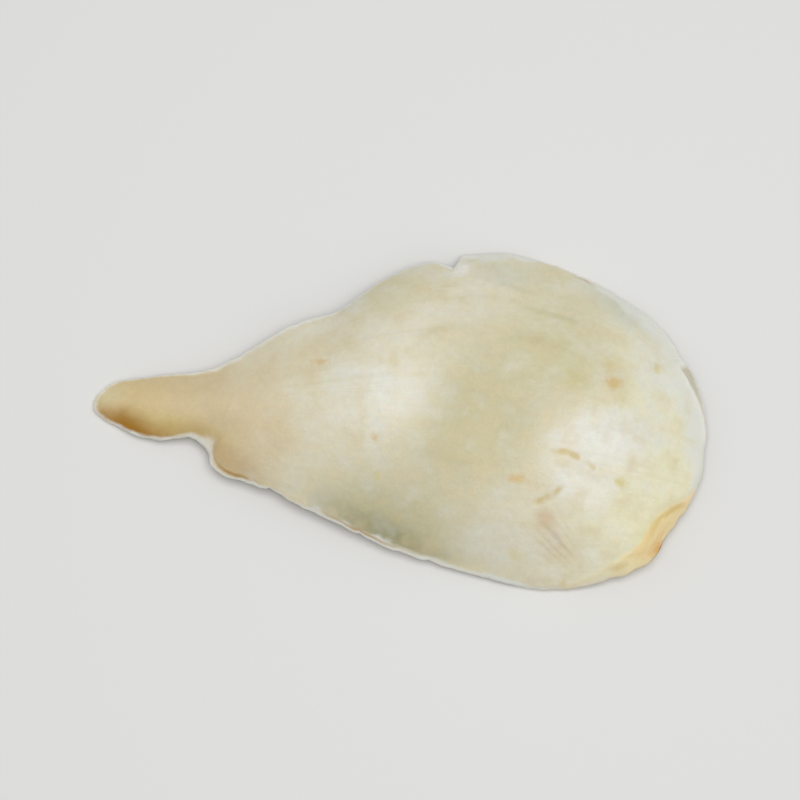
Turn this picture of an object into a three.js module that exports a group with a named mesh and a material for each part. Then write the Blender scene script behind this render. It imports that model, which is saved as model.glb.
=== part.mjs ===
// One dried scale of a lily bulb: a thin, spoon-shaped leaf base that has curled a little in drying.
// It lies on the tip and two points of its margin, with its domed outer face up. Millimetres, +Z up,
// origin under the middle of the scale on the surface it lies on. The tip points to -X, the end that
// was broken off the bulb's plate to +X.
import * as THREE from 'three';
import { ParametricGeometry } from 'three/addons/geometries/ParametricGeometry.js';
import { mergeVertices } from 'three/addons/utils/BufferGeometryUtils.js';

// The margin's underside, from the tip along the -Y margin to the base and back along the +Y margin.
// Its three lowest points carry the scale, and between them the dried margin lifts.
const MARGIN = [
  [-25.0, -2.8, 0.05], [-22.5, -4.3, 0.3], [-19.5, -5.0, 0.8], [-16.6, -4.6, 1.2],
  [-15.1, -5.6, 1.2], [-14.3, -7.1, 1.2], [-9.7, -8.3, 1.5], [-3.7, -10.5, 1.5],
  [1.4, -12.1, 1], [7.0, -13.1, 0.5], [12.9, -13.8, 0.1], [17.6, -12.7, 0.35],
  [21.2, -10.9, 0.7], [22.6, -8.3, 0.85], [24.2, -5.4, 1], [24.9, -1.7, 1.1],
  [24.4, 3.1, 1], [21.2, 8.0, 0.7], [17.0, 11.0, 0.35], [12.5, 12.8, 0.1],
  [7.9, 13.6, 0.3], [3.6, 12.9, 0.7], [0.5, 12.0, 1.2], [-2.6, 10.0, 1.6],
  [-5.8, 7.1, 1.9], [-9.4, 5.5, 1.9], [-12.4, 3.3, 1.7], [-15.8, 1.2, 1.3],
  [-20.5, 0.2, 0.8], [-23.9, -0.8, 0.3],
];
// Chips in the margin: place as a share of the way round, depth, and how far each fades before and after it.
const CHIPS = [[0.7258, 1.45, 0.25, 1.9], [0.5524, 0.3, 0.4, 0.9], [0.4385, 0.15, 1.8, 1.2], [0.1403, 0.25, 0.4, 0.8]];
const CHIP_DEPTH_POWER = 8; // keeps the chips to the outer part of the scale
const SPINE_TIP = [-17.0, -1.9]; // ends of the line that every cross-section starts from
const SPINE_BASE = [13.5, -0.5];
const FEET = [[-24.2, -2.5], [13.0, -13.1], [12.5, 12.2]]; // the three points that it lies on
const FOOT_FLAT = 1.2; // radius that is truly flat
const FOOT_BLEND = 2.9; // radius at which the underside is its own shape again

const MARGIN_THICKNESS = 0.7;
const TIP_THICKNESS = 1.3; // in the middle of the scale, near the tip
const BASE_THICKNESS = 2.3; // in the middle of the scale, near the base
const SCAR_THICKNESS = 1.8; // where it was broken from the bulb's plate
const SCAR_PLACE = 0.411; // share of the way round the margin
const SCAR_HALF_LENGTH = 6.5;
const EDGE_ROUNDING = 0.3; // width of the rounded edge, and of the slanting scar
const SCAR_SLANT = 1.4;
const SCAR_SHARPNESS = 0.7;

// The hollow under the scale: its height over the surface, highest across SUMMIT_X.
const TIP_HEIGHT = 0.9;
const HOLLOW_HEIGHT = 5.2;
const SUMMIT_X = 1.0;
const FALL_TO_TIP = 14.5;
const FALL_TO_BASE = 23.0;
const HUMPS = [[-1.0, 0.6, 6.0, 7.0, 0.5], [16.5, -1.9, 5.0, 6.5, 0.8]]; // x, y, half sizes, height
const TROUGH = { x: 7.0, slant: 0.275, halfWidth: 4.6, depth: 1.0 }; // shallow dip across the middle
const DOME = 2.5; // power of the dome's fall to the margin
// Stretches where the margin flares out flat: place round the margin, half length, strength.
const FLARES = [[0.2215, 9.0, 1.0], [0.9, 8.0, 0.5]];

const AROUND = 160; // steps round the margin
const FACE_RINGS = 11; // steps from the spine to the edge, on the top and on the underside
const EDGE_RINGS = 4;
const RINGS = FACE_RINGS + EDGE_RINGS + FACE_RINGS;
const RING_CROWDING = 1.25; // how much closer the rings lie near the margin
const SPINE_TURN = 0.97; // nearer 1, the sections turn more sharply round the spine's ends

const margin = new THREE.CatmullRomCurve3(MARGIN.map((p) => new THREE.Vector3(...p)), true, 'catmullrom');
margin.arcLengthDivisions = 1500;
const marginLength = margin.getLength();

const bell = (distance, halfWidth) => Math.exp(-((distance / halfWidth) ** 2));
const { clamp, lerp, smoothstep } = THREE.MathUtils;

// Distance along the margin from one place to another, the short way round.
function along(from, to) {
  const turn = to - from;
  return (turn - Math.round(turn)) * marginLength;
}

const scar = (u) => bell(along(SCAR_PLACE, u), SCAR_HALF_LENGTH);

// How deep the chips have eaten into the margin.
function chipDepth(u) {
  return CHIPS.reduce((sum, [place, depth, before, after]) => {
    const d = along(place, u);
    return sum + depth * Math.exp(-Math.abs(d) / (d < 0 ? before : after));
  }, 0);
}

// Height of the hollow's roof, before it falls to the margin.
function roof(x, y) {
  const fall = x < SUMMIT_X ? FALL_TO_TIP : FALL_TO_BASE;
  let height = TIP_HEIGHT + (HOLLOW_HEIGHT - TIP_HEIGHT) * bell(x - SUMMIT_X, fall);
  for (const [hx, hy, sx, sy, rise] of HUMPS) {
    height += rise * bell(x - hx, sx) * bell(y - hy, sy);
  }
  return height - TROUGH.depth * bell(x - TROUGH.x - TROUGH.slant * y, TROUGH.halfWidth);
}

// Share of the roof's height left at radial fraction r: a dome, or a bell shape where the margin flares.
function dome(u, r) {
  const flare = clamp(FLARES.reduce((sum, [place, half, strength]) =>
    sum + strength * bell(along(place, u), half), 0), 0, 1);
  return lerp(1 - r ** DOME, Math.cos((Math.PI / 2) * Math.min(r, 1)) ** 1.6, flare);
}

function thickness(u, x, r) {
  const core = lerp(TIP_THICKNESS, BASE_THICKNESS, smoothstep(x, -20, 12));
  const edge = lerp(MARGIN_THICKNESS, SCAR_THICKNESS, scar(u));
  return lerp(edge, core, Math.max(1 - r * r, 0) ** 0.8);
}

// Flattens the underside at each foot, so that the scale lies on three small flat spots.
function settle(x, y, z) {
  return FEET.reduce((height, [fx, fy]) =>
    height * smoothstep(Math.hypot(x - fx, y - fy), FOOT_FLAT, FOOT_BLEND), z);
}

// Radial fraction of a ring, counted from the spine.
const ringPlace = (ring) => 1 - (1 - ring / FACE_RINGS) ** RING_CROWDING;

// The cross-section's path: out along the underside, round the edge and back over the top. Gives the
// radial fraction between spine and margin, and the level between underside (0) and top (1).
function section(v, edgeStart, slant) {
  const ring = v * RINGS;
  if (ring <= FACE_RINGS) {
    return [edgeStart * ringPlace(ring), 0];
  }
  if (ring >= FACE_RINGS + EDGE_RINGS) {
    return [edgeStart * ringPlace(RINGS - ring), 1];
  }
  const angle = Math.PI * ((ring - FACE_RINGS) / EDGE_RINGS - 0.5);
  const sharpness = 1 + SCAR_SHARPNESS * slant;
  const rise = Math.sign(angle) * Math.abs(Math.sin(angle)) ** sharpness;
  return [lerp(edgeStart, 1, Math.cos(angle) ** sharpness), (1 + rise) / 2];
}

// Share of the way along the spine, from the tip: there and back once round, turning gently at its ends.
function spineShare(u) {
  return 0.5 - Math.asin(SPINE_TURN * Math.cos(2 * Math.PI * u)) / (2 * Math.asin(SPINE_TURN));
}

// A point of the skin: u goes round the margin, v along the cross-section.
function skin(u, v, target) {
  const rim = margin.getPointAt(u);
  const spineX = lerp(SPINE_TIP[0], SPINE_BASE[0], spineShare(u));
  const spineY = lerp(SPINE_TIP[1], SPINE_BASE[1], spineShare(u));
  const reach = Math.hypot(rim.x - spineX, rim.y - spineY);
  const slant = scar(u);
  const [r, level] = section(v, 1 - lerp(EDGE_ROUNDING, SCAR_SLANT, slant) / reach, slant);
  const place = r - (chipDepth(u) / reach) * r ** CHIP_DEPTH_POWER;
  const x = lerp(spineX, rim.x, place);
  const y = lerp(spineY, rim.y, place);
  const under = lerp(rim.z, roof(x, y), dome(u, place));
  const top = under + thickness(u, x, r);
  target.set(x, y, lerp(settle(x, y, under), top, level));
}

function bulbScale() {
  let geometry = new ParametricGeometry(skin, AROUND, RINGS);
  geometry.deleteAttribute('normal');
  geometry.deleteAttribute('uv');
  geometry = mergeVertices(geometry, 1e-4);
  geometry.computeVertexNormals();
  const flesh = new THREE.MeshStandardMaterial({ color: 0xd2ccac, roughness: 0.5, metalness: 0 });
  const mesh = new THREE.Mesh(geometry, flesh);
  mesh.name = 'bulb_scale';
  return mesh;
}

const part = new THREE.Group();
part.add(bulbScale());

export default part;
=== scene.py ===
"""Dresses one dried lily-bulb scale: its skin with veins, creases, chips and torn base, and its finish."""
import math

import bpy
import numpy as np
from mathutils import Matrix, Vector


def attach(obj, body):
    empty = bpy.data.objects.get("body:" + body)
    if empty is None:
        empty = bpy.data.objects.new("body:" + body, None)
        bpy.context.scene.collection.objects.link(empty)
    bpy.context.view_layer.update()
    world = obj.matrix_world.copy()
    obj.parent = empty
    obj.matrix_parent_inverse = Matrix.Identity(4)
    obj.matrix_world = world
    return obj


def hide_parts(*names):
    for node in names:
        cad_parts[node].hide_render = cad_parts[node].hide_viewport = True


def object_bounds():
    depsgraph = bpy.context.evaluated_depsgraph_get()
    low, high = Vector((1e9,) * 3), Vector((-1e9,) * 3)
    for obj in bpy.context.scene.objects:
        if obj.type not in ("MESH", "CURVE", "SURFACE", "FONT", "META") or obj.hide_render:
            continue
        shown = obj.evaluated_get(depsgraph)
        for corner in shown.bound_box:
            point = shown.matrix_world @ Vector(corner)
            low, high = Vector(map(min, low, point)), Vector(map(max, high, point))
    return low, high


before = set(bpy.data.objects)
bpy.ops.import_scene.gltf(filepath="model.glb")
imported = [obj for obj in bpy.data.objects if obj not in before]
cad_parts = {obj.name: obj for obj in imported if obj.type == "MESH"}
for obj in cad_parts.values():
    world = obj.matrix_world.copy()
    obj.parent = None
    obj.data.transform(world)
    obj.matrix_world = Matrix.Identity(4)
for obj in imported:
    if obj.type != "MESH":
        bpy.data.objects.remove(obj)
cad_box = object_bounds()

MM = 0.001  # the shape is worked out in millimetres and goes into the mesh in metres

# ---- the scale's form, as in the solid ----
# The margin's underside, from the tip along the -Y margin to the base and back along the +Y margin.
MARGIN = np.array([
    (-25.0, -2.8, 0.05), (-22.5, -4.3, 0.3), (-19.5, -5.0, 0.8), (-16.6, -4.6, 1.2),
    (-15.1, -5.6, 1.2), (-14.3, -7.1, 1.2), (-9.7, -8.3, 1.5), (-3.7, -10.5, 1.5),
    (1.4, -12.1, 1), (7.0, -13.1, 0.5), (12.9, -13.8, 0.1), (17.6, -12.7, 0.35),
    (21.2, -10.9, 0.7), (22.6, -8.3, 0.85), (24.2, -5.4, 1), (24.9, -1.7, 1.1),
    (24.4, 3.1, 1), (21.2, 8.0, 0.7), (17.0, 11.0, 0.35), (12.5, 12.8, 0.1),
    (7.9, 13.6, 0.3), (3.6, 12.9, 0.7), (0.5, 12.0, 1.2), (-2.6, 10.0, 1.6),
    (-5.8, 7.1, 1.9), (-9.4, 5.5, 1.9), (-12.4, 3.3, 1.7), (-15.8, 1.2, 1.3),
    (-20.5, 0.2, 0.8), (-23.9, -0.8, 0.3)])
# Chips in the margin: place as a share of the way round, depth, how far each fades before and after it.
# The first four are the solid's, three of them with a sharper side.
CHIPS = [
    (0.7258, 1.45, 0.03, 1.9), (0.5524, 0.3, 0.1, 0.9), (0.4385, 0.15, 1.8, 1.2), (0.1403, 0.25, 0.2, 0.8),
    (0.061, 0.12, 0.25, 0.25), (0.0715, 0.16, 0.3, 0.2), (0.1735, 0.15, 0.3, 0.3), (0.2065, 0.2, 0.2, 0.7),
    (0.2555, 0.16, 0.5, 0.2), (0.316, 0.15, 0.5, 0.5), (0.7685, 0.12, 0.4, 0.4), (0.846, 0.2, 0.4, 0.6)]
CHIP_DEPTH_POWER = 8  # keeps the chips to the outer part of the scale
SPINE_TIP = np.array([-17.0, -1.9])  # ends of the line that every cross-section starts from
SPINE_BASE = np.array([13.5, -0.5])
SPINE_TURN = 0.97  # nearer 1, the sections turn more sharply round the spine's ends
FEET = [(-24.2, -2.5), (13.0, -13.1), (12.5, 12.2)]  # the three points that it lies on
FOOT_FLAT = 1.2  # radius that is truly flat
FOOT_BLEND = 2.9  # radius at which the underside is its own shape again
UNDERSIDE_LEAST = 0.02  # away from the feet the underside stays at least this high

MARGIN_THICKNESS = 0.38  # the dried film; the solid's margin is kept thicker
TIP_THICKNESS = 1.3  # in the middle of the scale, near the tip
BASE_THICKNESS = 2.3  # in the middle of the scale, near the base
SCAR_THICKNESS = 1.8  # where it was broken from the bulb's plate
SCAR_PLACE = 0.411  # share of the way round the margin
SCAR_HALF_LENGTH = 6.5
EDGE_ROUNDING = 0.2  # width of the rounded edge
SCAR_SLANT = 1.4  # width of the edge at the scar, which slants
SCAR_SHARPNESS = 0.7

# The hollow under the scale: its height over the surface, highest across SUMMIT_X.
TIP_HEIGHT = 0.9
HOLLOW_HEIGHT = 5.2
SUMMIT_X = 1.0
FALL_TO_TIP = 14.5
FALL_TO_BASE = 23.0
HUMPS = [(-1.0, 0.6, 6.0, 7.0, 0.5), (16.5, -1.9, 5.0, 6.5, 0.8)]  # x, y, half sizes, height
TROUGH_X, TROUGH_SLANT, TROUGH_HALF_WIDTH, TROUGH_DEPTH = 7.0, 0.275, 4.6, 1.0
DOME = 2.5  # power of the dome's fall to the margin
# Stretches where the margin flares out flat: place round the margin, half length, strength.
FLARES = [(0.2215, 9.0, 1.0), (0.9, 8.0, 0.5)]

AROUND = 640  # steps round the margin
TOP_RINGS = 84
UNDER_RINGS = 44
EDGE_RINGS = 8
RING_CROWDING = 1.25  # how much closer the rings lie near the margin


def bell(distance, half_width):
    """A smooth hump: e to the minus (distance over half width) squared."""
    return np.exp(-(distance / half_width) ** 2)


def smooth(value, start, end):
    """0 below start, 1 above end, and 3t^2 - 2t^3 between them."""
    t = np.clip((value - start) / (end - start), 0, 1)
    return t * t * (3 - 2 * t)


def mix(a, b, share):
    """The straight line from a to b."""
    return a + (b - a) * share


def noise(x, y, seed):
    """Random heights from -1 to 1 at whole-number points, joined by the curve 6t^5 - 15t^4 + 10t^3."""
    heights = np.random.default_rng(seed).uniform(-1, 1, (256, 256))
    x, y = np.broadcast_arrays(x, y)
    i, j = np.floor(x).astype(int), np.floor(y).astype(int)
    s, t = x - i, y - j
    s, t = s ** 3 * (s * (6 * s - 15) + 10), t ** 3 * (t * (6 * t - 15) + 10)
    low = mix(heights[i % 256, j % 256], heights[(i + 1) % 256, j % 256], s)
    high = mix(heights[i % 256, (j + 1) % 256], heights[(i + 1) % 256, (j + 1) % 256], s)
    return mix(low, high, t)


def closed_curve(points, shares, steps=80):
    """The closed Catmull-Rom curve through the points, read at shares of its length."""
    t = np.arange(len(points) * steps + 1) / steps
    i = np.floor(t).astype(int)
    f = (t - i)[:, None]
    p0, p1, p2, p3 = (points[(i + k) % len(points)] for k in (-1, 0, 1, 2))
    curve = (2 * p1 + (p2 - p0) * f + (2 * p0 - 5 * p1 + 4 * p2 - p3) * f ** 2
             + (3 * p1 - p0 - 3 * p2 + p3) * f ** 3) / 2
    run = np.concatenate([[0], np.cumsum(np.linalg.norm(np.diff(curve, axis=0), axis=1))])
    read = np.stack([np.interp(shares * run[-1], run, column) for column in curve.T], -1)
    return read, run[-1]


def along(place, u, length):
    """Distance along the margin from a place to each share u, the short way round."""
    turn = u - place
    return (turn - np.round(turn)) * length


def chip_depth(u, length):
    """Sum of the chips: each is its depth times e to the minus distance over its fade on that side."""
    depth = np.zeros_like(u)
    for place, deep, before, after in CHIPS:
        d = along(place, u, length)
        depth += deep * np.exp(-np.abs(d) / np.where(d < 0, before, after))
    return depth


def roof(x, y):
    """Height of the hollow's roof: a bell along X, wider towards the base, plus humps, minus the trough."""
    fall = np.where(x < SUMMIT_X, FALL_TO_TIP, FALL_TO_BASE)
    height = TIP_HEIGHT + (HOLLOW_HEIGHT - TIP_HEIGHT) * bell(x - SUMMIT_X, fall)
    for hump_x, hump_y, size_x, size_y, rise in HUMPS:
        height = height + rise * bell(x - hump_x, size_x) * bell(y - hump_y, size_y)
    return height - TROUGH_DEPTH * bell(x - TROUGH_X - TROUGH_SLANT * y, TROUGH_HALF_WIDTH)


def dome(u, r, length):
    """Share of the roof left at radial fraction r: 1 - r^DOME, turning to cos^1.6 where the margin flares."""
    flare = sum(strength * bell(along(place, u, length), half) for place, half, strength in FLARES)
    bowl = 1 - np.abs(r) ** DOME
    flared = np.cos(math.pi / 2 * np.clip(r, 0, 1)) ** 1.6
    return mix(bowl, flared, np.clip(flare, 0, 1))


def settle(x, y, z):
    """Flattens the underside to nothing within each foot's radius."""
    for foot_x, foot_y in FEET:
        z = z * smooth(np.hypot(x - foot_x, y - foot_y), FOOT_FLAT, FOOT_BLEND)
    return z


def section(edge_start, slant):
    """The cross-section's rings, underside to top: radial fraction, and level from 0 (underside) to 1 (top).
    Rings crowd towards the edge, which is half a superellipse, sharper at the scar."""
    def face(rings):
        t = np.arange(rings + 1)[:, None] / rings
        return edge_start * (1 - (1 - t) ** RING_CROWDING)
    angle = (np.arange(1, EDGE_RINGS)[:, None] / EDGE_RINGS - 0.5) * math.pi
    sharpness = 1 + SCAR_SHARPNESS * slant
    out = mix(edge_start, 1, np.cos(angle) ** sharpness)
    level = 0.5 + 0.5 * np.sign(angle) * np.abs(np.sin(angle)) ** sharpness
    under, top = face(UNDER_RINGS), face(TOP_RINGS)[::-1]
    return np.concatenate([under, out, top]), np.concatenate([0 * under, level, 0 * top + 1])


# ---- the fine relief ----
# Half the scale's breadth and its middle line along X, smoothed, which the veins follow from tip to base.
VEIN_BREADTH = np.polynomial.Polynomial.fit(
    [-30, -22, -16, -10, -4, 2, 8, 14, 20, 26, 31],
    [1.2, 2.6, 4.4, 7.0, 10.0, 12.3, 13.3, 13.0, 11.2, 7.6, 4.0], 6)
VEIN_MIDDLE = np.polynomial.Polynomial.fit([-25, -15, -5, 5, 15, 25], [-2.5, -1.8, -0.5, 0.4, 0.0, -1.5], 3)
# Layers of random relief: height, size along the first direction, size along the second, seed of its draw.
MARGIN_RAGGED = [(0.07, 1.4, 1, 1), (0.05, 0.5, 1, 2)]
SCAR_RAGGED = [(0.12, 0.8, 1, 3)]
MARGIN_WAVE = [(0.14, 3.2, 1, 4), (0.05, 1.1, 1, 5)]
LUMPS = [(0.10, 5.5, 4.5, 11), (0.03, 2.3, 1.9, 12), (0.010, 0.9, 0.7, 10)]
SCAR_FIBRE = [(0.04, 1.2, 0.5, 18)]
SCAR_LUMPS = [(0.03, 1.1, 1.1, 19)]
MARGIN_INSET = 0.05  # how far the ragged margin is drawn in on the whole
LIP_HEIGHT, LIP_BREADTH = 0.035, 0.35  # a low swelling along the margin
# Short folds in the skin: three points of each, half width at its middle, strength.
CREASES = [
    ((11.9, -3.5), (13.6, -3.4), (14.6, -4.0), 0.32, 1.0),
    ((14.85, -3.95), (15.4, -4.2), (15.9, -4.5), 0.3, 0.8),
    ((10.9, -7.4), (12.3, -6.95), (13.5, -5.75), 0.36, 0.9)]
CREASE_DEPTH, CREASE_SWELL = 0.08, 0.045  # the groove, and the low swelling beside it
# Faint olive streaks along the scale, given as the folds are; they only change the colour.
STREAKS = [
    ((4.2, 10.7), (7.0, 10.5), (10.6, 9.4), 0.4, 0.7), ((8.4, 8.5), (11.2, 8.1), (13.9, 7.6), 0.34, 1.0),
    ((7.0, 5.2), (9.9, 5.6), (13.3, 4.8), 0.5, 0.8), ((0.6, 4.3), (2.7, 5.5), (5.2, 6.2), 0.45, 0.6)]
WRINKLES_AT, WRINKLES_TURN = (13.3, -10.25), math.radians(-39)  # a patch of fine lines side by side
WRINKLES_HALF = (1.8, 1.35)  # half length and half breadth of the patch
WRINKLE_SPACING, WRINKLE_HEIGHT = 0.56, 0.014
# Where the margin has dried to a pale film: place round the margin, half length, breadth added there.
FILM_BREADTH = 0.15
FILMS = [(0.089, 1.3, 0.65), (0.062, 2.5, 0.16), (0.945, 15.0, 0.2), (0.84, 7.0, 0.15), (0.724, 1.5, 0.5),
         (0.205, 5.0, -0.05), (0.536, 4.5, 0.3), (0.13, 3.2, -0.06)]
# Where a brown line runs just inside the film: place, half length, strength.
THIN_LINES = [(0.114, 1.9, 1.0), (0.2085, 3.2, 0.75), (0.638, 0.8, 0.5)]
# Where the flesh just inside the film is paler too: place round the margin, half length, breadth there.
BLOOMS = [(0.516, 8.5, 1.9), (0.586, 5.0, 0.6), (0.708, 3.2, 1.0), (0.2515, 12.0, 0.5)]
# Just before this place the outer skin stops short of the margin, and the layer under it shows as a lobe.
LOBE_PLACE, LOBE_FADE, LOBE_BREADTH = 0.553, 5.0, 0.9
SKIN_STEP = 0.12  # how far the outer skin stands above that layer
# The torn base: place round the margin, half length, breadth added there.
TEARS = [(0.41, 3.6, 1.45), (0.375, 3.6, 0.75), (0.4355, 2.35, 0.75)]


def layered(a, b, layers):
    """Sum of noises over two directions, each with its height, its two sizes and its seed."""
    return sum(height * noise(a / size_a, b / size_b, seed) for height, size_a, size_b, seed in layers)


def vein(x, y):
    """Place across the scale: -1 at one margin, 0 on the middle line, 1 at the other, smoothed along X."""
    return (y - VEIN_MIDDLE(x)) / VEIN_BREADTH(x)


def fold(x, y, bend, width):
    """Strength of one fold: a bell across its curve, fading at its ends. The curve is the quadratic through
    three points, and the distance is the least over its short straight steps."""
    a, b, c = (np.array(p) for p in bend)
    t = np.linspace(0, 1, 13)[:, None]
    middle = 2 * b - (a + c) / 2
    path = (1 - t) ** 2 * a + 2 * t * (1 - t) * middle + t ** 2 * c
    least = np.full(x.shape, 1e9)
    share = np.zeros(x.shape)
    for step_number, (start, end) in enumerate(zip(path[:-1], path[1:])):
        step = end - start
        s = np.clip(((x - start[0]) * step[0] + (y - start[1]) * step[1]) / (step @ step), 0, 1)
        distance = np.hypot(x - start[0] - s * step[0], y - start[1] - s * step[1])
        share = np.where(distance < least, (step_number + s) / (len(path) - 1), share)
        least = np.minimum(least, distance)
    return bell(least, width) * np.sqrt(np.clip(4 * share * (1 - share), 0, 1))


def fold_mask(folds, x, y, broader=1.0):
    """The strongest of the folds at each point, their lines broken up by noise."""
    masks = [strength * fold(x, y, bend, width * broader) for *bend, width, strength in folds]
    return np.max(masks, axis=0) * (0.85 + 0.35 * noise(x / 0.45, y / 0.45, 33))


def wrinkle_patch(x, y):
    """Fine ridges: a sine across a turned direction, its lines bent by noise, inside an oval patch."""
    dx, dy = x - WRINKLES_AT[0], y - WRINKLES_AT[1]
    lengthways = dx * math.cos(WRINKLES_TURN) + dy * math.sin(WRINKLES_TURN)
    sideways = dy * math.cos(WRINKLES_TURN) - dx * math.sin(WRINKLES_TURN)
    fanned = sideways * (1 + 0.1 * lengthways) / WRINKLE_SPACING
    lines = np.sin(2 * math.pi * (fanned + 0.3 * noise(lengthways / 1.8, sideways / 0.9, 31)))
    return lines * bell(lengthways, WRINKLES_HALF[0]) * bell(sideways, WRINKLES_HALF[1])


def lobe_breadth(u, length):
    """How far the outer skin stops short of the margin: sharp on one side, fading by a bell on the other."""
    d = along(LOBE_PLACE, u, length)
    return LOBE_BREADTH * bell(d, LOBE_FADE) * (1 - smooth(d, -0.7, 0.1))


def stretches(u, length, places, least=0.0):
    """A breadth round the margin: the least one, and a bell added at each place."""
    return least + sum(more * bell(along(place, u, length), half) for place, half, more in places)


def top_relief(x, y, v, rim, u, length, scar):
    """Millimetres added to the outer face: lumps, faint veins, folds, wrinkles, a split skin and the torn
    base. What changes round the margin is faded out towards the spine."""
    near = 1 - smooth(rim, 1.8, 4.5)
    away = u * length
    lumps = layered(x, y, LUMPS)
    spread = smooth(x, -20, -6)
    veins = (0.004 * noise(v * 26, x / 9, 13) + 0.002 * noise(v * 52, x / 5, 14)) * spread
    bands = 0.022 * noise(v * 13, x / 16, 15) * smooth(v, 0.15, 0.55) * smooth(x, -4, 4)
    swell = CREASE_SWELL * fold_mask(CREASES, x, y + 0.25, 2.2)
    folds = swell - CREASE_DEPTH * fold_mask(CREASES, x, y)
    lines = WRINKLE_HEIGHT * wrinkle_patch(x, y)
    lip = LIP_HEIGHT * bell(rim, LIP_BREADTH) * (0.4 + 0.6 * noise(away / 2.5, 0, 15))
    lobe = lobe_breadth(u, length)
    edge = lobe + 0.05 * noise(away / 0.8, 0.5, 17)
    split = SKIN_STEP * smooth(lobe, 0.05, 0.3) * smooth(rim, edge - 0.07, edge + 0.07) * near
    fibre = layered(away, rim, SCAR_FIBRE) + layered(x, y, SCAR_LUMPS)
    torn = scar * bell(rim - 0.7, 0.8) * fibre
    return (lumps + veins + bands) * (1 - 0.6 * scar * near) + folds + lines + lip + split + torn


def under_relief(x, y, v):
    """Millimetres added to the hollow face: long shallow furrows and soft lumps."""
    furrows = 0.03 * noise(v * 14, x / 12, 21)
    return furrows + 0.05 * noise(x / 4.5, y / 3.5, 22) + 0.008 * noise(v * 36, x / 7, 23)


def scale_skin():
    """The whole skin as rings round the spine. A point lies at a fraction of the ray from its place on the
    spine to its place on the margin. The underside's height mixes the margin's and the roof's by the dome's
    share, and the top lies a thickness above it."""
    u = np.arange(AROUND)[None] / AROUND
    rim_points, length = closed_curve(MARGIN, u[0])
    share = 0.5 - np.arcsin(SPINE_TURN * np.cos(2 * math.pi * u[0])) / (2 * math.asin(SPINE_TURN))
    spine = mix(SPINE_TIP, SPINE_BASE, share[:, None])
    ray = rim_points[:, :2] - spine
    reach = np.hypot(*ray.T)
    scar = bell(along(SCAR_PLACE, u, length), SCAR_HALF_LENGTH)
    r, level = section(1 - mix(EDGE_ROUNDING, SCAR_SLANT, scar) / reach, scar)
    away = u * length
    ragged = layered(away, 0, MARGIN_RAGGED) + scar * layered(away, 0, SCAR_RAGGED)
    inset = chip_depth(u, length) + ragged + MARGIN_INSET
    place = r - inset / reach * r ** CHIP_DEPTH_POWER
    x = spine[:, 0] + ray[:, 0] * place
    y = spine[:, 1] + ray[:, 1] * place
    under = mix(rim_points[:, 2], roof(x, y), dome(u, place, length))
    under = under + layered(away, 0, MARGIN_WAVE) * r ** 10
    core = mix(TIP_THICKNESS, BASE_THICKNESS, smooth(x, -20, 12))
    edge = mix(MARGIN_THICKNESS, SCAR_THICKNESS, scar)
    top = under + mix(edge, core, np.clip(1 - r * r, 0, 1) ** 0.8)
    rim = (1 - r) * reach
    v = vein(x, y)
    top = top + top_relief(x, y, v, rim, u, length, scar)
    under = np.maximum(under + under_relief(x, y, v) * smooth(rim, 0, 1.5), UNDERSIDE_LEAST)
    under = settle(x, y, under)
    points = np.stack([x, y, mix(under, top, level)], -1)
    unscarred = 1 - np.clip(1.3 * scar, 0, 1)
    marks = {
        "vein": v, "rim": rim, "outer": level,
        "crease": fold_mask(CREASES, x, y) * level, "streak": fold_mask(STREAKS, x, y) * level,
        "wrinkle": wrinkle_patch(x, y) * level}
    round_the_margin = {
        "film": stretches(u, length, FILMS, FILM_BREADTH) * unscarred,
        "bloom": stretches(u, length, BLOOMS) * unscarred,
        "tear": stretches(u, length, TEARS), "line": stretches(u, length, THIN_LINES),
        "lobe": lobe_breadth(u, length), "round": away}
    marks.update({name: values + 0 * r for name, values in round_the_margin.items()})
    return points, marks


def folded_faces(rings, around):
    """Four-sided faces between rings, the first and last ring folded onto the spine: step j meets step -j."""
    index = np.arange(rings * around).reshape(rings, around)
    step = np.arange(around)
    meets = np.minimum(step, (around - step) % around)
    index[0] = index[0][meets]
    index[-1] = index[-1][meets]
    after = np.roll(index, -1, axis=1)
    return np.stack([index[:-1], after[:-1], after[1:], index[1:]], -1).reshape(-1, 4)


def make_piece(name, points, marks, material):
    """A smooth-shaded object from rings of points in millimetres. Each mark becomes a point attribute."""
    faces = folded_faces(*points.shape[:2])
    used, faces = np.unique(faces, return_inverse=True)
    mesh = bpy.data.meshes.new(name)
    mesh.from_pydata((points.reshape(-1, 3)[used] * MM).tolist(), [], faces.reshape(-1, 4).tolist())
    for mark, values in marks.items():
        attribute = mesh.attributes.new(mark, "FLOAT", "POINT")
        attribute.data.foreach_set("value", values.reshape(-1)[used].astype(np.float32))
    mesh.polygons.foreach_set("use_smooth", np.ones(len(mesh.polygons), bool))
    mesh.materials.append(material)
    mesh.update()
    piece = bpy.data.objects.new(name, mesh)
    bpy.context.scene.collection.objects.link(piece)
    return piece


# ---- materials ----
def linear(r, g, b):
    """A screen colour, from 0 to 255, as the linear colour that shaders take."""
    c = np.array([r, g, b]) / 255
    c = np.where(c <= 0.04045, c / 12.92, ((c + 0.055) / 1.055) ** 2.4)
    return (*c.tolist(), 1.0)


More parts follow.
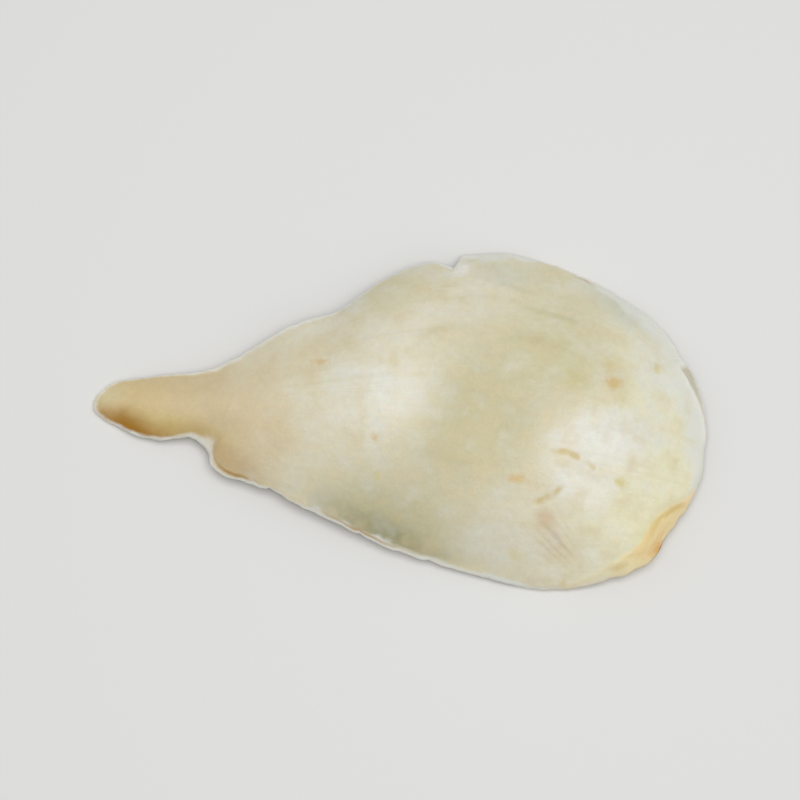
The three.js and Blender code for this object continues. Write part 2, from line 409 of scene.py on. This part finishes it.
TIP_TAN = linear(217, 196, 149)
TIP_PALE = linear(221, 210, 168)
# gold and ochre on the tip's lower side: painted shade where its edge turns down
TIP_GOLD_SHADE = linear(212, 190, 116)
TIP_OCHRE_SHADE = linear(167, 117, 6)
PEACH = linear(214, 196, 157)
CREAM = linear(227, 221, 196)
GREENISH = linear(236, 232, 200)
# olive flesh, also painted shade in the dip across the middle and on the lower flank
OLIVE_AND_SHADE = linear(198, 190, 150)
YELLOW_OLIVE = linear(209, 203, 160)
# painted shade on the lower flank, green and darker near its edge
FLANK_GREEN_SHADE = linear(188, 184, 146)
FLANK_DARK_SHADE = linear(160, 156, 120)
MARGIN_GREY = linear(222, 219, 201)
# grey painted shade along the upper margins
UPPER_MARGIN_SHADE = linear(208, 210, 194)
WARM_STAIN = linear(214, 196, 150)
# cool pale flesh, also painted highlights on the two bumps
COOL_STAIN_AND_HIGHLIGHT = linear(230, 231, 224)
PALE_CREAM = linear(242, 236, 212)
# painted highlight beside the creases
PAINTED_HIGHLIGHT = linear(244, 241, 228)
SKIN_YELLOW = linear(226, 220, 160)
PATCH_YELLOW = linear(206, 196, 140)
VEIN_SHADE = linear(204, 195, 154)
FILM_WHITE = linear(239, 238, 229)
LOBE_TAN = linear(203, 198, 178)
LOBE_PALE = linear(216, 213, 200)
STREAK_OLIVE = linear(192, 188, 142)
INNER_LINE = linear(180, 146, 88)
FRECKLE = linear(214, 174, 84)
SPOT_YELLOW = linear(216, 204, 138)
BLUSH = linear(215, 190, 154)
CREASE_TAN = linear(208, 187, 126)
AMBER = linear(222, 194, 138)
AMBER_DEEP = linear(200, 162, 98)
TORN_TAN = linear(243, 221, 168)
TORN_OCHRE = linear(234, 204, 142)
# pinkish outer edge of the torn band, made lighter as painted light
TORN_PINK_PAINTED_LIGHT = linear(253, 229, 188)
TORN_LINE = linear(222, 197, 132)
TORN_ORANGE = linear(232, 176, 100)
# paler faint end of the torn band, partly painted light
TORN_PALE_PAINTED_LIGHT = linear(252, 240, 192)
TORN_BROWN = linear(176, 112, 74)

# Broad tints of the outer face: x, y, half length, half breadth, turn in degrees, colour, strength. Some are
# painted shade and painted highlights, as the notes below say.
TINTS = [
    # the tip: peach flesh, a gold flank and ochre along its lower edge as painted shade where the edge turns
    # down, ochre painted shade behind the bite, and a pale end
    (-12.2, -3.5, 6.0, 3.2, -8, PEACH, 0.7), (-18.0, -4.2, 5.0, 1.5, -6, TIP_GOLD_SHADE, 0.6),
    (-21.95, -4.65, 6.0, 1.75, -16, TIP_OCHRE_SHADE, 1.0), (-13.3, -6.2, 3.4, 1.4, -25, TIP_OCHRE_SHADE, 0.3),
    (-16.6, -4.2, 2.2, 0.9, -8, TIP_OCHRE_SHADE, 0.25), (-23.8, -1.7, 1.8, 1.1, 20, TIP_PALE, 0.7),
    # the olive dip across the middle, partly olive flesh and partly painted shade, olive painted shade on the
    # lower flank, and yellower flesh on the upper side
    (6.9, -0.3, 6.0, 7.5, -15, OLIVE_AND_SHADE, 0.9), (5.4, -3.2, 5.5, 4.5, 0, OLIVE_AND_SHADE, 0.75),
    (2.0, -8.8, 8.0, 3.0, -17, OLIVE_AND_SHADE, 0.6), (-2.0, 8.8, 4.5, 2.5, 30, YELLOW_OLIVE, 0.5),
    (12.3, 4.9, 5.5, 4.5, -20, YELLOW_OLIVE, 0.7), (11.5, 11.0, 6.0, 2.5, -15, YELLOW_OLIVE, 0.45),
    # painted shade on the lower flank, darkest near its edge, grey painted shade along the upper margins, and
    # paler margins
    (0.7, -9.9, 8.0, 2.1, -17, FLANK_GREEN_SHADE, 0.7), (0.2, -10.9, 6.4, 1.4, -20, FLANK_DARK_SHADE, 0.95),
    (17.6, 9.3, 4.6, 1.5, -36, UPPER_MARGIN_SHADE, 0.8), (7.0, 11.4, 3.4, 1.2, -10, UPPER_MARGIN_SHADE, 0.5),
    (8.6, -10.2, 4.6, 2.5, -16, MARGIN_GREY, 0.75), (23.3, 0.6, 5.2, 1.1, -78, COOL_STAIN_AND_HIGHLIGHT, 0.45),
    (-9.6, 3.9, 7.0, 1.1, 27, CREAM, 0.6), (4.0, 11.4, 1.3, 0.7, 30, FILM_WHITE, 0.9),
    # painted highlights on the two bumps and beside the creases, a pale patch near the right end, and the
    # greenish base
    (-1.3, -0.2, 4.5, 3.2, 0, COOL_STAIN_AND_HIGHLIGHT, 0.6), (16.6, -1.6, 4.9, 2.5, 12, COOL_STAIN_AND_HIGHLIGHT, 0.9),
    (14.8, -5.5, 2.9, 1.5, -20, COOL_STAIN_AND_HIGHLIGHT, 0.8), (17.6, -2.9, 2.6, 2.4, 0, PAINTED_HIGHLIGHT, 0.6),
    (15.2, -6.2, 2.2, 1.4, -20, PAINTED_HIGHLIGHT, 0.8), (20.3, 4.7, 2.4, 4.5, 30, COOL_STAIN_AND_HIGHLIGHT, 0.6),
    (19.5, -7.8, 3.6, 4.0, -30, GREENISH, 0.8), (21.0, -8.7, 3.6, 1.1, 54, SKIN_YELLOW, 0.6),
    # small stains
    (13.6, 2.5, 1.4, 1.1, -20, PATCH_YELLOW, 0.6), (16.8, 3.2, 1.6, 1.9, 20, WARM_STAIN, 0.4),
    (-6.8, 3.4, 3.0, 1.2, 15, WARM_STAIN, 0.25), (12.3, -8.5, 0.9, 0.75, -30, BLUSH, 0.8),
    (13.3, -10.2, 2.4, 1.4, -39, BLUSH, 0.35)]
# Freckles: x, y, half length along X, half breadth, colour, strength. The last is not a freckle but a dark
# spot of painted shade on the lower flank.
FRECKLES = [
    (16.65, 2.75, 0.8, 0.65, FRECKLE, 0.72), (16.3, 4.1, 0.7, 0.7, FRECKLE, 0.2),
    (20.3, 4.65, 0.35, 0.55, SPOT_YELLOW, 0.6), (17.35, 1.25, 0.5, 0.9, SPOT_YELLOW, 0.3),
    (9.7, -5.8, 0.8, 0.45, FRECKLE, 0.6), (18.0, -5.1, 0.6, 0.5, SPOT_YELLOW, 0.8),
    (10.3, -11.4, 0.8, 0.6, SPOT_YELLOW, 0.3), (-6.6, 2.0, 0.9, 0.3, FRECKLE, 0.5),
    (-1.65, -3.75, 0.35, 0.4, FRECKLE, 0.4), (-1.15, -6.6, 0.4, 0.4, SPOT_YELLOW, 0.6),
    (18.8, -11.7, 0.6, 0.32, FRECKLE, 0.45), (14.4, -13.1, 0.4, 0.3, FRECKLE, 0.3),
    # a dark spot of painted shade on the lower flank
    (0.1, -10.85, 1.1, 0.6, FLANK_DARK_SHADE, 0.7)]
# Millimetres round the margin: where the lobe has turned white, where the torn band is faint and where its
# colour is full, and where its inner line has faded out again.
LOBE_CAP = 68.1
TEAR_FAINT, TEAR_CLEAR = 46.2, 49.7
TEAR_END = 56.0
TEAR_SPOT = (21.75, -9.6)  # spots on the torn base, one orange and one ochre
TEAR_OCHRE_SPOT = (18.7, -11.4)


class Finish:
    """A material's node tree, with one short call for each kind of node that the finishes use."""

    def __init__(self, name):
        self.material = bpy.data.materials.new(name)
        self.material.use_nodes = True
        self.tree = self.material.node_tree
        self.shader = self.tree.nodes["Principled BSDF"]

    def add(self, kind, inputs=None, **settings):
        node = self.tree.nodes.new(kind)
        for key, value in settings.items():
            setattr(node, key, value)
        for key, value in (inputs or {}).items():
            self.put(node.inputs[key], value)
        return node

    def put(self, socket, value):
        if isinstance(value, bpy.types.NodeSocket):
            self.tree.links.new(value, socket)
        else:
            socket.default_value = value

    def mark(self, name):
        return self.add("ShaderNodeAttribute", attribute_name=name).outputs["Fac"]

    def calc(self, operation, a, b=0.0, c=0.0):
        return self.add("ShaderNodeMath", {0: a, 1: b, 2: c}, operation=operation).outputs[0]

    def ramp(self, value, start, end, low=0.0, high=1.0):
        """low before start, high past end, smooth between; start may be the greater."""
        sockets = {"Value": value, "From Min": start, "From Max": end, "To Min": low, "To Max": high}
        return self.add("ShaderNodeMapRange", sockets, interpolation_type="SMOOTHSTEP").outputs[0]

    def blend(self, share, a, b, way="MIX"):
        sockets = {0: share, 6: a, 7: b}
        return self.add("ShaderNodeMix", sockets, data_type="RGBA", blend_type=way).outputs[2]

    def oval(self, at, x, y, half_length, half_breadth, turn=0.0):
        """Distance from an oval's middle, in its half length and half breadth, so it is 1 on the outline."""
        cos, sin = math.cos(turn), math.sin(turn)
        axes = (cos / half_length, sin / half_length, 0.0), (-sin / half_breadth, cos / half_breadth, 0.0)
        here = self.xyz(*(self.span("DOT_PRODUCT", at, axis) for axis in axes))
        middle = (x * axes[0][0] + y * axes[0][1], x * axes[1][0] + y * axes[1][1], 0.0)
        return self.span("DISTANCE", here, middle)

    def span(self, operation, a, b):
        return self.add("ShaderNodeVectorMath", {0: a, 1: b}, operation=operation).outputs["Value"]

    def grain(self, vector, scale, detail=3.0, roughness=0.55):
        sockets = {"Vector": vector, "Scale": scale, "Detail": detail, "Roughness": roughness}
        return self.add("ShaderNodeTexNoise", sockets).outputs["Fac"]

    def xyz(self, x, y, z=0.0):
        return self.add("ShaderNodeCombineXYZ", {0: x, 1: y, 2: z}).outputs[0]

    def set(self, **values):
        for key, value in values.items():
            self.put(self.shader.inputs[key.replace("_", " ")], value)


def outer_colour(f, at, x, y, noises):
    """The outer face: tan at the tip, then peach, cream and greenish, with tints, veins and freckles. Some of
    the tints are painted shade and painted highlights.
    """
    cloud, patch, mottle, speck, vein_at = noises
    shifted = f.calc("MULTIPLY_ADD", cloud, 7.0, x)
    base = f.blend(f.ramp(shifted, -22.0, -14.0), TIP_TAN, PEACH)
    base = f.blend(f.ramp(shifted, -16.0, -6.0), base, CREAM)
    base = f.blend(f.ramp(shifted, 12.0, 21.0), base, GREENISH)
    for tx, ty, half_length, half_breadth, turn, colour, strength in TINTS:
        away = f.oval(at, tx, ty, half_length, half_breadth, math.radians(turn))
        bent = f.calc("MULTIPLY_ADD", patch, 0.7, away)
        base = f.blend(f.ramp(bent, 1.75, 0.45, 0.0, strength), base, colour)

    # faint veins as noise drawn out along the scale, soft stains, a fine grain of pale and dark flesh, and
    # painted shade in the grooves of the wrinkle patch
    length_at = f.calc("MULTIPLY", x, 0.05)
    broad_veins = f.grain(f.xyz(f.calc("MULTIPLY", vein_at, 13.0), length_at), 1.0, 3.0, 0.6)
    fine_veins = f.grain(f.xyz(f.calc("MULTIPLY", vein_at, 48.0), f.calc("MULTIPLY", x, 0.12)), 1.0, 2.0, 0.6)
    apart = f.ramp(x, -18.0, -6.0)
    base = f.blend(f.calc("MULTIPLY", apart, f.ramp(broad_veins, 0.5, 0.75, 0.0, 0.22)), base, VEIN_SHADE)
    base = f.blend(f.calc("MULTIPLY", apart, f.ramp(fine_veins, 0.5, 0.8, 0.0, 0.12)), base, VEIN_SHADE)
    base = f.blend(f.calc("MULTIPLY", apart, f.ramp(patch, 0.45, 0.8, 0.0, 0.4)), base, WARM_STAIN)
    base = f.blend(f.calc("MULTIPLY", apart, f.ramp(patch, 0.55, 0.2, 0.0, 0.4)), base, COOL_STAIN_AND_HIGHLIGHT)
    shade = f.calc("MULTIPLY_ADD", mottle, 0.18, 0.91)
    shade = f.calc("MULTIPLY", shade, f.calc("MULTIPLY_ADD", speck, 0.10, 0.95))
    # painted shade in the grooves of the wrinkle patch
    shade = f.calc("MULTIPLY", shade, f.ramp(f.mark("wrinkle"), 0.1, -0.9, 1.0, 0.88))
    base = f.add("ShaderNodeVectorMath", {0: base, "Scale": shade}, operation="SCALE").outputs[0]
    for fx, fy, half_length, half_breadth, colour, strength in FRECKLES:
        bent = f.calc("MULTIPLY_ADD", mottle, 1.5, f.oval(at, fx, fy, half_length, half_breadth))
        base = f.blend(f.ramp(bent, 2.1, 0.7, 0.0, strength), base, colour)
    base = f.blend(f.ramp(f.mark("streak"), 0.05, 1.0, 0.0, 0.45), base, STREAK_OLIVE)
    return f.blend(f.ramp(f.mark("crease"), 0.1, 0.95, 0.0, 0.8), base, CREASE_TAN), broad_veins, fine_veins


def margin_film(f, base, rim, patch, ragged):
    """The thin margin dries to a pale film, softer where it is broad, with paler flesh inside it. Past the
    end of the outer skin, the layer under it shows with a pale edge."""
    bloom = f.mark("bloom")
    within = f.calc("MULTIPLY_ADD", f.calc("SUBTRACT", patch, 0.5), 1.5, rim)
    far = f.calc("MULTIPLY_ADD", bloom, 1.6, 0.001)
    pale = f.ramp(within, far, f.calc("MULTIPLY", bloom, 0.5), 0.0, 0.75)
    base = f.blend(pale, base, COOL_STAIN_AND_HIGHLIGHT)
    skin = f.calc("SUBTRACT", rim, f.mark("lobe"))
    film = f.mark("film")
    inside = f.calc("SUBTRACT", skin, f.calc("MULTIPLY", film, f.calc("MULTIPLY_ADD", ragged, 1.8, 0.1)))
    line = f.ramp(f.calc("ABSOLUTE", f.calc("SUBTRACT", inside, 0.2)), 0.22, 0.04)
    base = f.blend(f.calc("MULTIPLY", line, f.mark("line")), base, INNER_LINE)
    soft = f.calc("MULTIPLY_ADD", film, 0.6, 0.08)
    colour = f.blend(f.ramp(inside, soft, f.calc("MULTIPLY", soft, -1.0), 0.0, 0.85), base, FILM_WHITE)
    tan = f.blend(f.ramp(f.mark("lobe"), 0.25, 0.75), LOBE_PALE, LOBE_TAN)
    tan = f.blend(f.ramp(f.mark("round"), LOBE_CAP - 0.8, LOBE_CAP), tan, FILM_WHITE)
    under = f.blend(f.ramp(rim, 0.05, 0.25), FILM_WHITE, tan)
    return f.blend(f.ramp(skin, 0.0, -0.1), colour, under)


def torn_base(f, colour, at, rim, mottle):
    """Where it was broken from the bulb: a smooth tan band, pinkish outside, with an ochre line along its
    inner edge, an orange spot with a brown nick, and an ochre spot. The pinkish outer edge and far end, and
    the paler faint end, are partly painted light, made lighter than the flesh is. Towards one end it hardly
    shows."""
    tear, way = f.mark("tear"), f.mark("round")
    inside = f.calc("SUBTRACT", f.calc("MULTIPLY_ADD", f.calc("SUBTRACT", mottle, 0.5), 0.5, rim), tear)
    clear = f.ramp(way, TEAR_FAINT, TEAR_CLEAR, 0.4, 1.0)
    torn = f.calc("MULTIPLY", f.ramp(inside, 0.25, -0.2), f.ramp(tear, 0.08, 0.35))
    torn = f.calc("MULTIPLY", torn, clear)
    drawn = f.grain(f.xyz(f.calc("MULTIPLY", way, 0.4), f.calc("MULTIPLY", rim, 1.6)), 1.0, 2.0, 0.5)
    wood = f.blend(f.ramp(drawn, 0.38, 0.68, 0.0, 0.8), TORN_TAN, TORN_OCHRE)
    # paler towards the band's faint end, partly painted light
    wood = f.blend(f.ramp(way, TEAR_CLEAR + 1.0, TEAR_CLEAR - 2.0, 0.0, 0.8), wood, TORN_PALE_PAINTED_LIGHT)
    # pinkish outer edge, lightened as painted light
    wood = f.blend(f.ramp(rim, 0.5, 0.05, 0.0, 0.7), wood, TORN_PINK_PAINTED_LIGHT)
    line = f.ramp(f.calc("ABSOLUTE", f.calc("ADD", inside, 0.25)), 0.4, 0.05)
    line = f.calc("MULTIPLY", line, f.ramp(way, TEAR_CLEAR, TEAR_CLEAR + 4.5, 0.3, 0.9))
    line = f.calc("MULTIPLY", line, f.ramp(way, TEAR_END, TEAR_END - 1.2))
    # pinkish towards the far end, lightened as painted light
    wood = f.blend(f.ramp(way, TEAR_END - 1.2, TEAR_END, 0.0, 0.8), wood, TORN_PINK_PAINTED_LIGHT)
    wood = f.blend(line, wood, TORN_LINE)
    spot = f.calc("MULTIPLY_ADD", mottle, 1.2, f.oval(at, *TEAR_SPOT, 1.0, 0.5, math.radians(55)))
    wood = f.blend(f.ramp(spot, 1.9, 0.8, 0.0, 0.8), wood, TORN_ORANGE)
    ochre = f.calc("MULTIPLY_ADD", mottle, 1.0, f.oval(at, *TEAR_OCHRE_SPOT, 0.9, 0.3, math.radians(20)))
    wood = f.blend(f.ramp(ochre, 1.8, 0.7, 0.0, 0.7), wood, TORN_LINE)
    nick = f.oval(at, TEAR_SPOT[0] + 0.25, TEAR_SPOT[1] + 0.25, 0.45, 0.1, math.radians(60))
    wood = f.blend(f.ramp(nick, 1.3, 0.6, 0.0, 0.6), wood, TORN_BROWN)
    return f.blend(torn, colour, wood), torn


def scale_finish():
    """Horny dried flesh with a faint sheen: outer face, amber hollow face, pale margin and torn base."""
    f = Finish("dried_scale_flesh")
    here = f.add("ShaderNodeTexCoord").outputs["Object"]
    at = f.add("ShaderNodeVectorMath", {0: here, "Scale": 1 / MM}, operation="SCALE").outputs[0]
    axes = f.add("ShaderNodeSeparateXYZ", {0: at}).outputs
    vein_at, rim, outer = f.mark("vein"), f.mark("rim"), f.mark("outer")
    cloud = f.calc("SUBTRACT", f.grain(at, 0.2, 2.0), 0.5)
    patch = f.grain(at, 0.5, 2.0, 0.5)
    mottle = f.grain(at, 1.7, 4.0, 0.65)
    speck = f.grain(at, 4.5, 3.0, 0.6)
    noises = (cloud, patch, mottle, speck, vein_at)
    base, broad_veins, fine_veins = outer_colour(f, at, axes[0], axes[1], noises)
    base = margin_film(f, base, rim, patch, f.grain(at, 1.1, 2.0, 0.5))

    inner = f.blend(f.ramp(broad_veins, 0.35, 0.7), AMBER, AMBER_DEEP)
    inner = f.blend(f.ramp(rim, 3.0, 0.3, 0.0, 0.6), inner, CREAM)
    colour = f.blend(f.ramp(outer, 0.35, 0.75), inner, base)
    colour, torn = torn_base(f, colour, at, rim, mottle)

    wear = f.calc("MULTIPLY_ADD", mottle, 0.2, 0.38)
    wear = f.calc("MULTIPLY_ADD", torn, 0.2, wear)
    height = f.calc("MULTIPLY", fine_veins, 0.004)
    height = f.calc("MULTIPLY_ADD", broad_veins, 0.015, height)
    height = f.calc("MULTIPLY_ADD", mottle, 0.05, height)
    height = f.calc("MULTIPLY_ADD", speck, 0.018, height)
    height = f.calc("MULTIPLY_ADD", f.grain(at, 11.0, 3.0, 0.6), 0.008, height)
    height = f.calc("MULTIPLY_ADD", f.calc("MULTIPLY", torn, mottle), 0.05, height)
    bump = f.add("ShaderNodeBump", {"Strength": 0.8, "Distance": MM, "Height": height}).outputs[0]
    f.set(Base_Color=colour, Roughness=wear, Normal=bump, Subsurface_Weight=0.3,
          Subsurface_Radius=(1.0, 0.72, 0.4), Subsurface_Scale=1.1 * MM, IOR=1.5)
    return f.material


def floor_finish():
    """A plain pale matt surface."""
    f = Finish("pale_floor")
    f.set(Base_Color=linear(228, 228, 226), Roughness=0.85)
    return f.material


# ---- the setting ----
FLOOR_HALF = 0.6
VIEW_AZIMUTH, VIEW_ELEVATION = math.radians(6), math.radians(80)
LENS = 90
VIEW_DISTANCE = 0.16
SURROUND_STRENGTH = 0.33
LAMP_PLACE, LAMP_SIZE, LAMP_POWER = (0.03, 0.0, 0.34), 0.25, 0.84


def plain_floor():
    """A flat square that the scale's feet rest on."""
    mesh = bpy.data.meshes.new("floor")
    corners = [(-1, -1), (1, -1), (1, 1), (-1, 1)]
    mesh.from_pydata([(a * FLOOR_HALF, b * FLOOR_HALF, 0.0) for a, b in corners], [], [(0, 1, 2, 3)])
    mesh.materials.append(floor_finish())
    floor = bpy.data.objects.new("floor", mesh)
    bpy.context.scene.collection.objects.link(floor)


def soft_light(name, place, size, power):
    """A square lamp turned to the origin."""
    lamp = bpy.data.lights.new(name, "AREA")
    lamp.size = size
    lamp.energy = power
    holder = bpy.data.objects.new(name, lamp)
    holder.location = place
    holder.rotation_euler = (-Vector(place)).to_track_quat("-Z", "Y").to_euler()
    bpy.context.scene.collection.objects.link(holder)


def studio():
    """One soft lamp overhead, with an even pale surround."""
    world = bpy.data.worlds.new("surround")
    world.use_nodes = True
    background = world.node_tree.nodes["Background"]
    background.inputs["Color"].default_value = (1, 1, 1, 1)
    background.inputs["Strength"].default_value = SURROUND_STRENGTH
    bpy.context.scene.world = world
    soft_light("key", LAMP_PLACE, LAMP_SIZE, LAMP_POWER)
    bpy.context.scene.view_settings.view_transform = "Standard"


def camera():
    """Looks down on the scale, tilted back from straight overhead by ten degrees."""
    eye = bpy.data.objects.new("camera", bpy.data.cameras.new("camera"))
    back = Vector((math.sin(VIEW_AZIMUTH) * math.cos(VIEW_ELEVATION),
                   -math.cos(VIEW_AZIMUTH) * math.cos(VIEW_ELEVATION), math.sin(VIEW_ELEVATION)))
    middle = (cad_box[0] + cad_box[1]) / 2
    eye.data.lens = LENS
    eye.location = middle + back * VIEW_DISTANCE
    eye.rotation_mode = "QUATERNION"
    eye.rotation_quaternion = (-back).to_track_quat("-Z", "Y")
    bpy.context.scene.collection.objects.link(eye)
    bpy.context.scene.camera = eye


camera()
studio()
plain_floor()
skin, skin_marks = scale_skin()
scale = make_piece("dried_lily_scale", skin, skin_marks, scale_finish())
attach(scale, "root")
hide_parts("bulb_scale")
